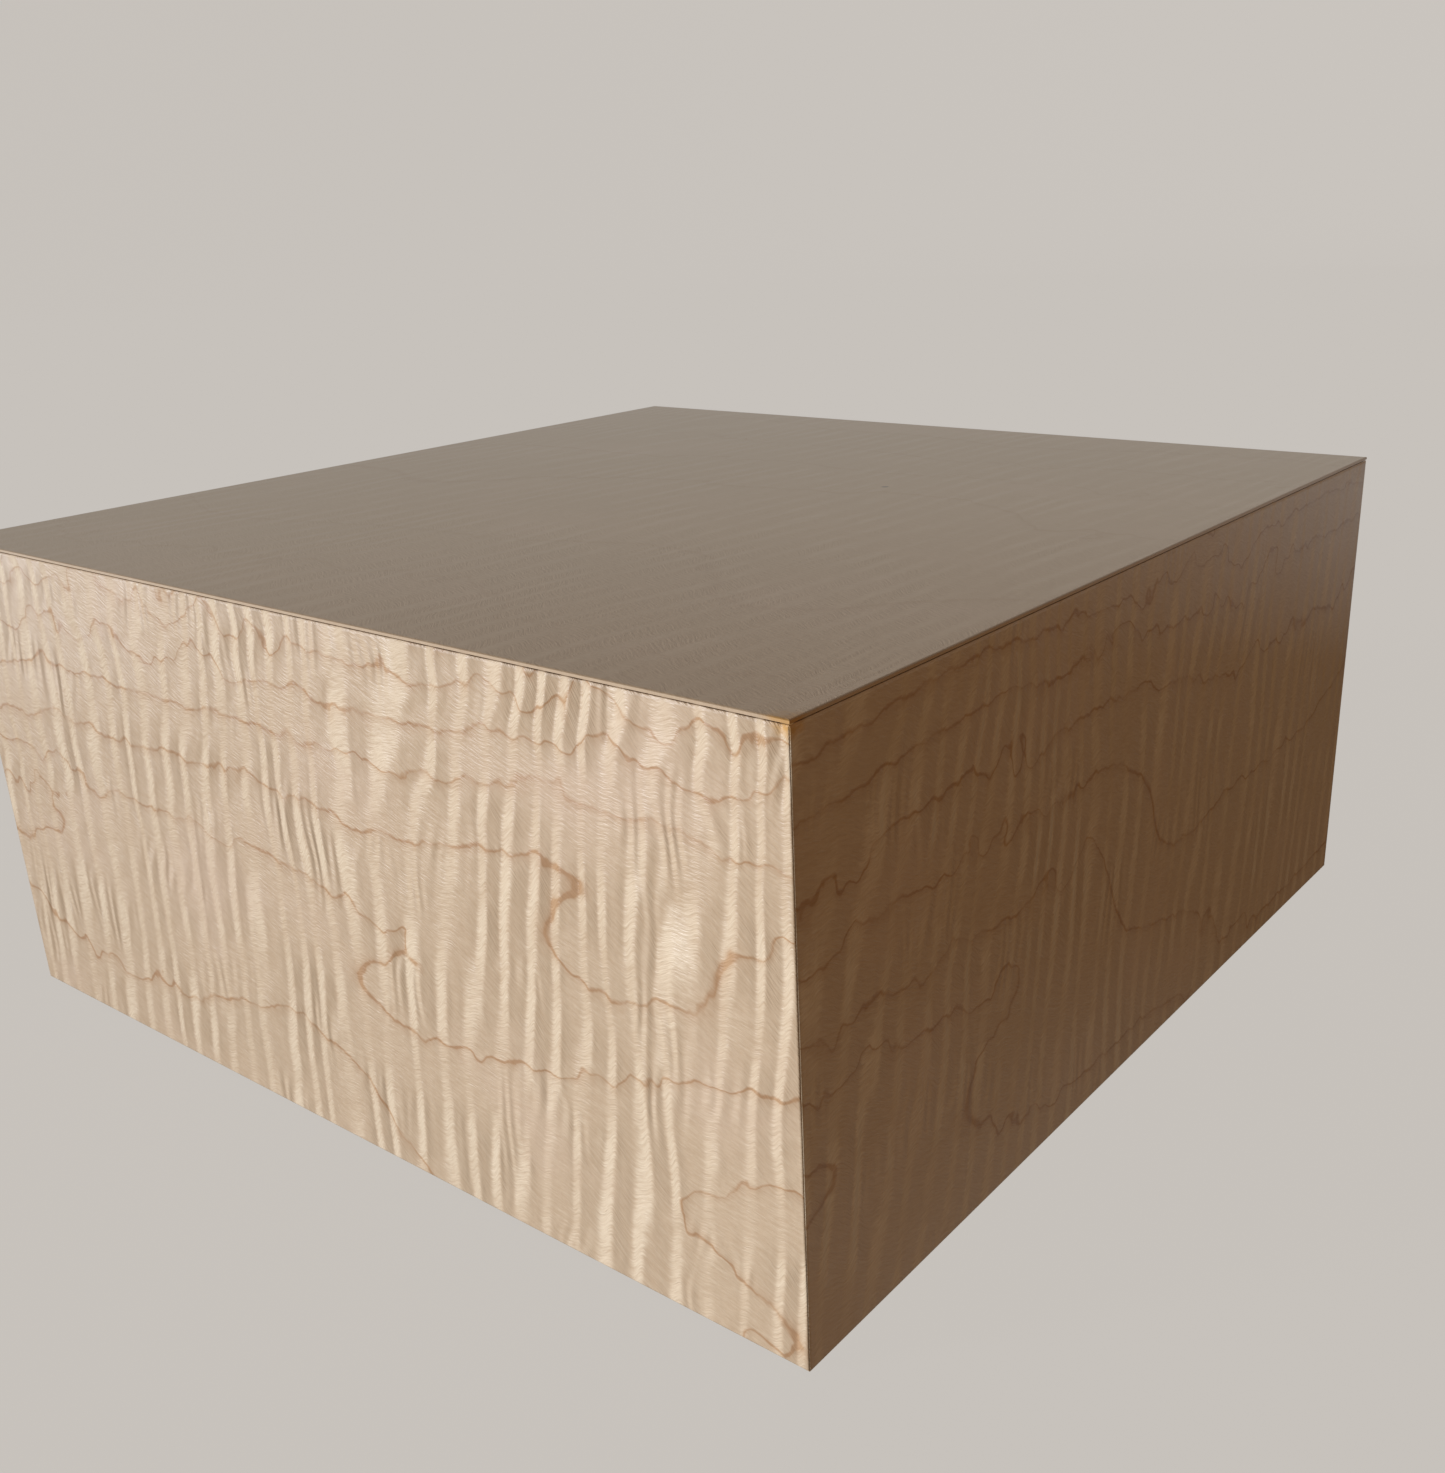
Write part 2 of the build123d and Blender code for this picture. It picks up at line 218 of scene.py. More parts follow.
class Nodes:
    """A node tree under construction."""

    def __init__(self, tree: bpy.types.NodeTree) -> None:
        """Empties the tree."""
        self.tree = tree
        self.tree.nodes.clear()

    def add(
        self,
        kind: str,
        settings: Mapping[str, Any] | None = None,
        sockets: Mapping[Any, Any] | None = None,
    ) -> bpy.types.Node:
        """Adds a node.

        Args:
            kind: the node's type.
            settings: its properties, set first. "stops" is a colour ramp's list of (place, colour).
            sockets: its inputs by name or number, as numbers, tuples, values or output sockets.

        Returns:
            The new node.
        """
        node = self.tree.nodes.new(kind)
        for key, setting in (settings or {}).items():
            if key == "stops":
                self._stops(node, setting)
            else:
                setattr(node, key, setting)
        for key, given in (sockets or {}).items():
            self.feed(node, key, given)
        return node

    def _stops(self, node: bpy.types.Node, stops: Sequence[tuple[float, Colour]]) -> None:
        """Gives a colour ramp its stops."""
        elements = node.color_ramp.elements
        while len(elements) < len(stops):
            elements.new(1.0)
        for element, (place, colour) in zip(elements, stops):
            element.position = place
            element.color = (*colour, 1.0)

    def feed(self, node: bpy.types.Node, key: Any, given: Any) -> None:
        """Links or sets one input of a node.

        Args:
            node: the node.
            key: the input's name or number.
            given: a value, an output socket, a number or a tuple.
        """
        socket = node.inputs[key]
        if isinstance(given, Value):
            given = given.socket
        if isinstance(given, bpy.types.NodeSocket):
            self.tree.links.new(given, socket)
        elif socket.type == "RGBA" and len(given) == 3:
            socket.default_value = (*given, 1.0)
        else:
            socket.default_value = given

    def split(self, vector: bpy.types.NodeSocket) -> tuple[Value, Value, Value]:
        """The three parts of a vector socket."""
        node = self.add("ShaderNodeSeparateXYZ", sockets={0: vector})
        return tuple(Value(self, out) for out in node.outputs)

    def join(self, x: Any, y: Any, z: Any = 0.0) -> bpy.types.NodeSocket:
        """A vector socket from three parts."""
        return self.add("ShaderNodeCombineXYZ", sockets={0: x, 1: y, 2: z}).outputs[0]

    def blend(self, share: Any, first: Any, second: Any, kind: str = "MIX") -> bpy.types.NodeSocket:
        """Mixes two colours.

        Args:
            share: how much of the second, from 0 to 1.
            first: the colour at 0.
            second: the colour at 1.
            kind: the blend type.

        Returns:
            The mixed colour's socket.
        """
        settings = {"data_type": "RGBA", "blend_type": kind, "clamp_factor": True}
        return self.add("ShaderNodeMix", settings, {0: share, 6: first, 7: second}).outputs[2]


class Recipe(Nodes):
    """A material under construction: its node tree, with one Principled shader at the end."""

    def __init__(self, name: str) -> None:
        """Starts an empty material with its shader and output."""
        self.material = bpy.data.materials.new(name)
        self.material.use_nodes = True
        super().__init__(self.material.node_tree)
        self.shader = self.add("ShaderNodeBsdfPrincipled")
        self.add("ShaderNodeOutputMaterial", sockets={"Surface": self.shader.outputs[0]})

    def place(self) -> tuple[Value, Value, Value]:
        """Object coordinates, in millimetres."""
        coords = self.add("ShaderNodeTexCoord").outputs["Object"]
        return tuple(part * 1000.0 for part in self.split(coords))

    def attribute(self, name: str) -> tuple[Value, Value, Value]:
        """The three parts of a piece's own vector attribute."""
        return self.split(self.add("ShaderNodeAttribute", {"attribute_name": name}).outputs["Vector"])

    def noise(self, x: Any, y: Any, z: Any = 0.0, detail: float = 2.0, roughness: float = 0.5) -> Value:
        """Smooth noise about 0.

        Args:
            x: first coordinate, in units of the noise's own grain.
            y: second coordinate.
            z: third coordinate, or a seed.
            detail: how many finer layers are added.
            roughness: how strong the finer layers are.

        Returns:
            Noise from about -0.5 to 0.5.
        """
        sockets = {"Vector": self.join(x, y, z), "Scale": 1.0, "Detail": detail, "Roughness": roughness}
        node = self.add("ShaderNodeTexNoise", {"noise_dimensions": "3D"}, sockets)
        return Value(self, node.outputs[0]) - 0.5

    def bump(self, height: Value, strength: float, distance: float) -> None:
        """Feeds the shader's normal with a bump whose height is in millimetres times distance."""
        sockets = {"Height": height, "Strength": strength, "Distance": distance * MM}
        self.feed(self.shader, "Normal", self.add("ShaderNodeBump", sockets=sockets).outputs[0])

    def finish(self, **sockets: Any) -> bpy.types.Material:
        """Feeds the shader's sockets, named with _ for a space, and gives the material."""
        for key, given in sockets.items():
            self.feed(self.shader, key.replace("_", " "), given)
        return self.material


# ---- growth rings of a veneer sheet -------------------------------------------------------------------


RING_STEP = 0.002  # share of a sheet over which the rings' slope is measured


@dataclass(frozen=True)
class Swell:
    """A hill or hollow in the growth rings under a sheet. Its middle and reach are shares of the sheet."""

    along: float
    up: float
    wide: float
    tall: float
    lift: float


@dataclass(frozen=True)
class RingField:
    """The growth rings that a sheet of flat-sawn veneer shows: level lines of a slope with a few swells in
    it.

    The slope is first + even times up + crowd times up cubed, up being a share of the sheet's height, so
    the rings crowd together towards the top. Two long sine waves along the grain sway it. A swell adds lift
    times e to the minus d squared, d being the distance from its middle in units of its reach.
    """

    swells: tuple[Swell, ...]
    first: float = 0.4
    even: float = 2.3
    crowd: float = 3.9
    sway: float = 0.16
    start: float = 0.0

    def heights(self, along: np.ndarray, up: np.ndarray) -> np.ndarray:
        """The field's height.

        Args:
            along: places along the grain, as shares of the sheet's length.
            up: places across it, as shares of its height.

        Returns:
            The heights, whole at each ring, in the arrays' shape.
        """
        height = self.first + self.even * up + self.crowd * up**3
        long_wave = np.sin(2 * math.pi * (1.3 * along + 0.5 * up) + self.start)
        short_wave = np.sin(2 * math.pi * (3.1 * along - 0.9 * up) + 2 * self.start)
        height = height + self.sway * (long_wave + 0.5 * short_wave)
        for swell in self.swells:
            away = ((along - swell.along) / swell.wide) ** 2 + ((up - swell.up) / swell.tall) ** 2
            height = height + swell.lift * np.exp(-away)
        return height

    def growth(self, along: np.ndarray, up: np.ndarray, size: tuple[float, float]) -> np.ndarray:
        """What the maple finish reads at each place.

        Args:
            along: places along the grain, in millimetres.
            up: places across it, in millimetres.
            size: the sheet's length and height.

        Returns:
            Height, its rise per millimetre up, and its steepness per millimetre.
        """
        a = along / size[0]
        u = up / size[1]
        step = RING_STEP
        rise = (self.heights(a, u + step) - self.heights(a, u - step)) / (2 * step * size[1])
        run = (self.heights(a + step, u) - self.heights(a - step, u)) / (2 * step * size[0])
        return np.stack([self.heights(a, u), rise, np.hypot(rise, run)], -1)

    def turned_over(self) -> "RingField":
        """The next leaf of the same stack, turned over like a page, with its rings a little lower."""
        swells = tuple(Swell(1.0 - s.along, s.up - 0.02, s.wide, s.tall, s.lift) for s in self.swells)
        return RingField(swells, self.first + 0.15, self.even, self.crowd, self.sway, self.start + math.pi)


FRONT_RINGS = RingField(
    swells=(
        Swell(0.00, 0.48, 0.28, 0.13, -1.1),
        Swell(0.30, 0.30, 0.14, 0.20, 0.5),
        Swell(0.46, 0.12, 0.10, 0.12, -0.5),
        Swell(0.62, 0.30, 0.16, 0.18, 0.9),
        Swell(0.52, 0.46, 0.20, 0.07, -0.4),
        Swell(0.85, 0.55, 0.16, 0.16, 0.8),
        Swell(0.80, 0.72, 0.22, 0.14, -0.7),
        Swell(1.00, 0.20, 0.12, 0.09, -0.7),
        Swell(0.75, 0.05, 0.22, 0.14, 1.2),
    ),
)
RIGHT_RINGS = RingField(
    swells=(
        Swell(0.00, 0.34, 0.16, 0.18, -1.4),
        Swell(0.22, 0.38, 0.10, 0.10, -0.6),
        Swell(0.34, 0.20, 0.10, 0.14, 0.5),
        Swell(0.38, 0.42, 0.08, 0.14, -0.4),
        Swell(0.55, 0.40, 0.16, 0.16, 0.9),
        Swell(0.85, 0.15, 0.35, 0.22, 1.7),
        Swell(0.85, 0.55, 0.35, 0.20, 1.0),
    ),
)
LID_RINGS = RingField(
    swells=(
        Swell(0.25, 0.30, 0.30, 0.14, 0.6),
        Swell(0.70, 0.60, 0.25, 0.16, -0.8),
        Swell(0.85, 0.15, 0.20, 0.12, 0.5),
    ),
    even=5.0,
    crowd=1.2,
)


# ---- finishes -------------------------------------------------------------------------------------------


@dataclass(frozen=True)
class CurlyMaple:
    """Curly maple veneer under a deep clear gloss.

    The fibres dive and climb in waves. The waves are mostly in the surface's slope, so they show where a
    lamp rakes across them and fade where the light is flat, and a little in the colour. Each growth ring is
    a thin brown line that the waves push about. The clear coat over them is flat.
    """

    name: str = "curly_maple"
    pale: Colour = (0.785, 0.645, 0.470)
    deep: Colour = (0.555, 0.405, 0.262)
    ring: Colour = (0.74, 0.58, 0.45)
    blush: Colour = (0.665, 0.500, 0.365)
    tan: Colour = (0.565, 0.430, 0.285)
    # the colour of the painted amber highlight at the front right top corner
    amber: Colour = (0.62, 0.30, 0.035)
    curl: float = 6.0
    fine_curl: float = 2.7
    roll: float = 0.31
    wave: float = 0.34
    figure: float = 1.0
    silk: float = 1.25
    specks: float = 0.0
    ring_depth: float = 1.0
    ring_width: float = 0.24
    # the corner where the painted amber highlight sits, in millimetres
    corner: tuple[float, float, float] = (0.0, 0.0, 0.0)

    def _phase(self, mix: Recipe, along: Value, up: Value, seed: Value, height: Value) -> Value:
        """Where a place lies in the fibres' waves, in radians: the waves stand nearly upright, lean with
        the grain, wander, and shift a little from one growth ring to the next.
        """
        wander = mix.noise(along / 34.0, up / 110.0, seed, 1.0) * 15.0
        jitter = mix.noise(along / 8.0, up / 70.0, seed + 7.0, 1.0) * 5.5
        lean = mix.noise(along / 60.0, 0.0, seed + 3.0, 0.0) * 0.5 + 0.12
        shift = mix.noise(height * 0.9, along / 30.0, seed + 8.0, 0.0) * 3.2
        return (along - up * lean + wander + jitter) * (2 * math.pi / self.curl) + shift

    def make(self) -> bpy.types.Material:
        """The finish, which reads a sheet's "lay" (along, up, seed) and "growth" (height, rise, steepness).

        Returns:
            The material.
        """
        mix = Recipe(self.name)
        along, up, seed = mix.attribute("lay")
        height, rise, steep = mix.attribute("growth")

        phase = self._phase(mix, along, up, seed, height)
        skewed = phase - phase.sine() * 0.45
        vigour = mix.noise(along / 20.0, up / 17.0, seed + 11.0, 2.0).rise(-0.19, 0.21, 0.10, 1.0)
        fine_wander = mix.noise(along / 9.0, up / 24.0, seed + 5.0, 1.0) * 9.0
        fine_phase = (along + fine_wander - up * 0.1) * (2 * math.pi / self.fine_curl)
        fine_vigour = mix.noise(along / 19.0, up / 17.0, seed + 13.0, 1.0).rise(-0.02, 0.26)

        lift = skewed.sine() * vigour + fine_phase.sine() * fine_vigour * 0.2
        ragged = mix.noise(along / 6.0, up / 9.0, seed + 2.0, 3.0, 0.6) * 3.6
        restless = mix.noise(along / 42.0, up / 26.0, seed + 18.0, 1.0).rise(-0.12, 0.13)
        ragged = ragged + mix.noise(along / 11.0, up / 15.0, seed + 17.0, 2.0, 0.55) * restless * 24.0
        ring_height = height - rise * (lift * self.wave + ragged)

        fallen = up + lift * 1.3
        silk = mix.noise(along / 1.9 + fallen * 0.55, fallen / 0.46 + along * 0.42, seed + 4.0, 2.0, 0.62)
        patch = mix.noise(along / 3.6, up / 6.5, seed + 15.0, 2.0)
        streak = (silk * 1.5 + patch * 1.6 - skewed.cosine()).rise(-0.6, 1.0) * vigour
        narrow = (0.0 - fine_phase.cosine()).rise(-0.2, 1.0) * fine_vigour
        figure = (streak + narrow * 0.4).at_most(1.0)

        fibre = mix.noise(along / 2.4, fallen / 0.34, seed, 2.0, 0.65)
        thread = mix.noise(along / 9.0, fallen / 0.7, seed + 1.0, 2.0, 0.6)

        base = figure * 0.76 * self.figure + 0.14
        tone = base + (fibre * 0.55 + thread * 0.35 + silk * (figure * 0.8 + 0.45)) * self.silk
        cloud = mix.noise(along / 40.0, up / 30.0, seed + 9.0, 2.0)
        wood = mix.blend(tone.at_least(0.0).at_most(1.0), self.deep, self.pale)
        wood = mix.blend(cloud.rise(0.0, 0.25, 0.0, 0.45), wood, self.blush)
        wood = mix.blend(cloud.rise(-0.28, -0.02, 0.4, 0.0), wood, self.tan)

        off = ring_height - ring_height.whole()
        apart = off / steep.at_least(0.035)
        weight = mix.noise(along / 12.0, up / 9.0, seed + 6.0, 2.0).rise(-0.24, 0.20, 0.12, 1.0)
        line = apart.size().rise(self.ring_width * 0.3, self.ring_width * 1.9, 1.0, 0.0) * weight
        late = apart.rise(-2.2, -0.1) * apart.rise(-0.1, 0.15, 1.0, 0.0) * 0.28
        flat = steep.rise(0.015, 0.06, 1.0, 0.0) * off.size().rise(0.005, 0.03, 0.35, 0.0)
        brown = (line + late + flat).at_most(1.0) * self.ring_depth
        wood = mix.blend(brown, wood, mix.blend(1.0, wood, self.ring, "MULTIPLY"))

        # painted shade along the arrises and a painted amber highlight at the corner, then real dark specks
        colour = self._wear(mix, wood, along, up, seed)
        rolling = (0.0 - skewed.sine()) * vigour + (0.0 - fine_phase.sine()) * fine_vigour * 0.30
        relief = (silk * 0.11 + fibre * 0.02 + patch * 0.10) * self.silk
        mix.bump(rolling * self.roll * self.figure + relief, 1.0, 1.0)
        gloss = 0.46 - figure * 0.05 + fibre.size() * 0.12
        return mix.finish(
            Base_Color=colour, Roughness=gloss, IOR=1.5, Coat_Weight=1.0, Coat_Roughness=0.055, Coat_IOR=1.5
        )

    def _wear(
        self, mix: Recipe, wood: bpy.types.NodeSocket, along: Value, up: Value, seed: Value
    ) -> bpy.types.NodeSocket:
        """Painted shade and light at the arrises, with real specks: a darker line along every edge of a sheet,
        which is painted shade, a painted amber highlight at the front right top corner, and a few dark specks.

        Args:
            mix: the recipe.
            wood: the wood's colour.
            along: place along the grain.
            up: place across it.
            seed: the sheet's seed.

        Returns:
            The colour with the painted shade, the painted highlight and the specks.
        """
        x, y, z = mix.place()
        # painted amber highlight: strongest at the front right top corner, gone a few millimetres away
        near = ((x - self.corner[0]).size() + (y - self.corner[1]).size()) * 0.7 + (z - self.corner[2]).size()
        painted_highlight = (near + mix.noise(x / 1.5, y / 1.5, z / 1.5) * 3.0).rise(0.8, 4.2, 0.85, 0.0)
        wood = mix.blend(painted_highlight, wood, self.amber)
        spot = mix.add(
            "ShaderNodeTexVoronoi",
            {"feature": "F1", "distance": "EUCLIDEAN"},
            {"Vector": mix.join(along / 46.0, up / 46.0, seed), "Scale": 1.0},
        )
        dark = Value(mix, spot.outputs["Distance"]).rise(0.010, 0.022, self.specks, 0.0)
        # painted shade: a darker line along every arris of a sheet
        edge = mix.attribute("edge")[0] + mix.noise(along / 3.0, up / 3.0, seed) * 0.5
        wood = mix.blend(edge.rise(0.10, 0.6, 0.30, 0.0), wood, (0.36, 0.25, 0.14))
        return mix.blend(dark, wood, (0.035, 0.03, 0.035))


@dataclass(frozen=True)
class PlainWood:
    """Unfigured wood for the pieces inside, with growth rings, pores and, across the grain, end grain."""

    name: str
    pale: Colour
    deep: Colour
    ring_pitch: float = 5.0
    polish: float = 0.5
    coat: float = 0.0

    def make(self, grain: Along) -> bpy.types.Material:
        """The finish for boards whose grain runs one way.

        Args:
            grain: which way it runs.

        Returns:
            The material.
        """
        mix = Recipe(f"{self.name}_{grain.value}")
        x, y, z = mix.place()
        along, a, b = {Along.X: (x, y, z), Along.Y: (y, x, z), Along.Z: (z, x, y)}[grain]
        bow = mix.noise(along / 90.0, a / 40.0, b / 40.0, 2.0) * 9.0
        radius = (a * 0.35 + b + bow) / self.ring_pitch
        off = radius - radius.layer()
        late = off.rise(0.45, 0.97) * off.rise(0.97, 1.0, 1.0, 0.0)
        pore = mix.noise(along / 6.0, a / 0.35, b / 0.35, 2.0, 0.6)
        streak = mix.noise(along / 45.0, a / 2.2, b / 2.2, 2.0)
        cloud = mix.noise(along / 70.0, a / 30.0, b / 30.0, 1.0)
        tone = (0.30 + late * 0.38 + streak * 0.55 + pore * 0.42 + cloud * 0.5).at_least(0.0).at_most(1.0)
        colour = mix.blend(tone, self.pale, self.deep)
        mix.bump(pore + late * 0.5, 0.25, 0.05)
        rough = self.polish + pore * 0.15 + late * 0.06
        return mix.finish(
            Base_Color=colour, Roughness=rough, IOR=1.5, Coat_Weight=self.coat, Coat_Roughness=0.2
        )


@dataclass(frozen=True)
class Metal:
    """A metal that has been filed or ground one way and has dulled in places."""

    name: str
    bright: Colour
    dull: Colour
    rough: float = 0.28

    def make(self) -> bpy.types.Material:
        """The finish.

        Returns:
            The material.
        """
        mix = Recipe(self.name)
        x, y, z = mix.place()
        tarnish = mix.noise(x / 5.0, y / 5.0, z / 5.0, 3.0, 0.6).rise(-0.12, 0.22)
        scratch = mix.noise((x + y) / 0.14, (x - y) / 4.0, z / 3.0, 2.0)
        colour = mix.blend(tarnish * 0.7 + scratch.size() * 0.5, self.bright, self.dull)
        mix.bump(scratch, 0.15, 0.01)
        return mix.finish(
            Base_Color=colour, Metallic=1.0, Roughness=self.rough + tarnish * 0.16 + scratch * 0.12
        )


# ---- meshes -----------------------------------------------------------------------------------------------


def grid_faces(rows: int, columns: int, start: int = 0, flip: bool = False) -> np.ndarray:
    """Quads of a grid whose points are numbered row by row.

    Args:
        rows: points down.
        columns: points across.
        start: the first point's number.
        flip: whether the quads face the other way.

    Returns:
        An array of four point numbers a quad.
    """
    corner = (np.arange(rows - 1)[:, None] * columns + np.arange(columns - 1)[None]).ravel() + start
    quads = np.stack([corner, corner + 1, corner + columns + 1, corner + columns], -1)
    return quads[:, ::-1] if flip else quads


def rim_of(rows: int, columns: int) -> np.ndarray:
    """Numbers of a grid's border points, in order round it."""
    numbers = np.arange(rows * columns).reshape(rows, columns)
    return np.concatenate([numbers[0, :-1], numbers[:-1, -1], numbers[-1, :0:-1], numbers[:0:-1, 0]])


def make_piece(
    name: str, points: np.ndarray, faces: Sequence[Sequence[int]], smooth: bool = False
) -> bpy.types.Object:
    """A mesh object at the origin.

    Args:
        name: the piece's name.
        points: its points in millimetres, one a row.
        faces: its faces, each a run of point numbers.
        smooth: whether it is shaded smooth.

    Returns:
        The object, in the scene.
    """
    mesh = bpy.data.meshes.new(name)
    mesh.from_pydata((points * MM).tolist(), [], [list(map(int, face)) for face in faces])
    mesh.polygons.foreach_set("use_smooth", np.full(len(mesh.polygons), smooth))
    mesh.validate()
    mesh.update()
    piece = bpy.data.objects.new(name, mesh)
    bpy.context.scene.collection.objects.link(piece)
    return piece


def set_attribute(piece: bpy.types.Object, name: str, vectors: np.ndarray) -> None:
    """Gives each point of a piece a vector.

    Args:
        piece: the piece.
        name: the attribute's name.
        vectors: one row a point.
    """
    layer = piece.data.attributes.new(name, "FLOAT_VECTOR", "POINT")
    layer.data.foreach_set("vector", np.ascontiguousarray(vectors, np.float32).ravel())


def stations(length: float, ease: float, pitch: float) -> np.ndarray:
    """Places along an edge from 0 to length: close together over the arris at each end, evenly between."""
    arris = ease * np.array([0.0, 0.12, 0.3, 0.6, 1.0])
    middle = np.linspace(ease, length - ease, max(2, round(length / pitch)))
    return np.concatenate([arris[:-1], middle, (length - arris[:-1])[::-1]])


@dataclass
class VeneerSheet:
    """One sheet of veneer: a grid for its show face, one for its back, and a rim that closes them.

    The show face falls away to its arrises by drop times (1 - t) squared, where t goes from 0 at the arris
    to 1 at ease from it.
    """

    name: str
    body: str
    node: str
    rings: RingField
    seed: float
    size: tuple[float, float]
    ease: float = 0.42
    drop: float = 0.15
    pitch: float = 1.7

    def fall(self, distance: np.ndarray) -> np.ndarray:
        """How far the show face has fallen at a distance from its arris."""
        return self.drop * (1.0 - np.minimum(distance / self.ease, 1.0)) ** 2

    def close(self, front: np.ndarray, back: np.ndarray, lay: np.ndarray, edge: np.ndarray) -> bpy.types.Object:
        """Builds the sheet, hangs it on its body and gives it its lay and growth.

        Args:
            front: the show face's points, rows by columns by 3.
            back: the back's points, in the same order.
            lay: along and up of each grid point, rows by columns by 2.
            edge: each grid point's distance to the nearest arris.

        Returns:
            The finished piece.
        """
        rows, columns = front.shape[:2]
        count = rows * columns
        points = np.concatenate([front.reshape(-1, 3), back.reshape(-1, 3)])
        rim = rim_of(rows, columns)
        after = np.roll(rim, -1)
        sides = np.stack([rim, rim + count, after + count, after], -1)
        faces = np.concatenate([grid_faces(rows, columns), grid_faces(rows, columns, count, True), sides])
        piece = make_piece(self.name, points, faces)
        flat_lay = lay.reshape(-1, 2)
        growth = self.rings.growth(flat_lay[:, 0], flat_lay[:, 1], self.size)
        full_lay = np.column_stack([flat_lay, np.full(count, self.seed)])
        full_edge = np.column_stack([edge.ravel(), np.zeros(count), np.zeros(count)])
        set_attribute(piece, "lay", np.tile(full_lay, (2, 1)))
        set_attribute(piece, "growth", np.tile(growth, (2, 1)))
        set_attribute(piece, "edge", np.concatenate([full_edge, np.zeros((count, 3))]))
        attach(piece, self.body)
        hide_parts(self.node)
        return piece


def node_box(node: str) -> tuple[np.ndarray, np.ndarray]:
    """A CAD node's lowest and highest corner in millimetres."""
    low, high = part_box(node)
    return np.array(low) / MM, np.array(high) / MM


@dataclass
class SidePanel:
    """A side panel's veneer sheet. The core, runners, screws, peg and magnets behind it are bare work."""

    side: Side
    rings: RingField
    seed: float

    def build(self, maple: bpy.types.Material) -> bpy.types.Object:
        """The veneer sheet. Its ends and foot are mitred: they stand in by the depth at every point.

        Args:
            maple: the veneer's finish.

        Returns:
            The sheet.
        """
        label = self.side.label
        low, high = node_box("front_panel_veneer")
        thick = high[1] - low[1]
        length, height = (high - low)[[0, 2]]
        body = f"{label}_panel"
        node = f"{label}_panel_veneer"
        sheet = VeneerSheet(f"{label}_veneer", body, node, self.rings, self.seed, (length, height))
        along = stations(length, sheet.ease, sheet.pitch)
        up = stations(height, sheet.ease, sheet.pitch)
        a, u = np.meshgrid(along, up)
        edge = np.minimum(np.minimum(a, length - a), np.minimum(u, height - u))
        end_fall = sheet.fall(np.minimum(a, length - a))
        depth = np.maximum(end_fall, sheet.fall(np.minimum(u, height - u)))

        def at(depths: np.ndarray) -> np.ndarray:
            """Grid points at the given depths, drawn in from the mitred ends and foot."""
            share_along, share_up = a / length, u / height
            x = low[0] + depths + share_along * (length - 2 * depths)
            z = low[2] + depths + share_up * (height - depths)
            return np.stack([x, low[1] + depths, z], -1)

        front, back = at(depth), at(np.full_like(depth, thick))
        lay = np.stack([a, u], -1)
        piece = sheet.close(self.side.turn(front), self.side.turn(back), lay, edge)
        piece.data.materials.append(maple)
        return piece


@dataclass
class Lid:
    """The lid's square-edged veneer sheet. The core, cleats and keepers below it are bare work."""

    rings: RingField
    seed: float = 41.0

    def build(self, maple: bpy.types.Material) -> bpy.types.Object:
        """The lid's veneer sheet.

        Args:
            maple: the veneer's finish.

        Returns:
            The sheet.
        """
        low, high = node_box("lid_veneer")
        size = high - low
        across = (size[0], size[1])
        sheet = VeneerSheet(
            "lid_top_veneer", "lid", "lid_veneer", self.rings, self.seed, across,
            ease=0.35, drop=0.10, pitch=2.6,
        )
        a, u = np.meshgrid(*(stations(part, sheet.ease, sheet.pitch) for part in across))
        edge = np.minimum(np.minimum(a, size[0] - a), np.minimum(u, size[1] - u))
        front = np.stack([low[0] + a, low[1] + u, high[2] - sheet.fall(edge)], -1)
        back = np.stack([low[0] + a, low[1] + u, np.full_like(a, low[2])], -1)
        piece = sheet.close(front, back, np.stack([a, u], -1), edge)
        piece.data.materials.append(maple)
        return piece


